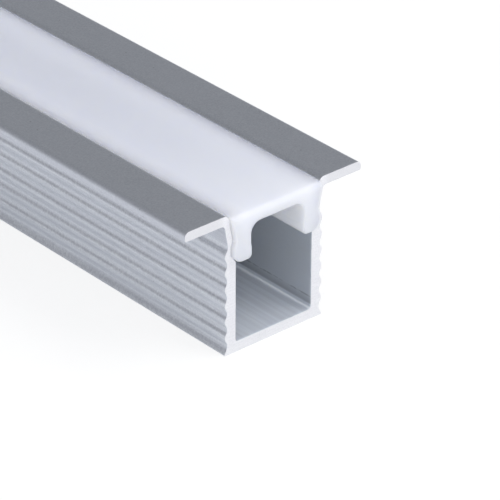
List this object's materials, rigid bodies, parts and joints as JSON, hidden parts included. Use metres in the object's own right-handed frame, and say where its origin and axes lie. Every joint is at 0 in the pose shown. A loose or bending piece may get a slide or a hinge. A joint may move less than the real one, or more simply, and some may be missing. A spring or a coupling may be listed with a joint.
{
  "type": "recessed led strip profile",
  "caption": "Recessed aluminium channel with flanges and ribbed walls that holds a light strip under a snap-in opal cover.",
  "frame": {"origin": "middle of the channel's underside, halfway along its length", "axes": "+Y along the profile, +Z out of the light side, +X across it towards one flange"},
  "size_m": [0.0234, 0.1512, 0.0162],
  "materials": {
    "anodised_aluminium": "satin silver anodised, with plain cut ends",
    "opal_plastic": "milky white, smooth, lets light through"
  },
  "bodies": {
    "channel": {"channel_extrusion": "anodised_aluminium"},
    "cover": {"opal_cover": "opal_plastic"}
  },
  "joints": [
    {"name": "cover_slide", "type": "slide", "parent": "channel", "child": "cover", "axis": [0, 1, 0], "range_m": [-0.152, 0.152]}
  ]
}
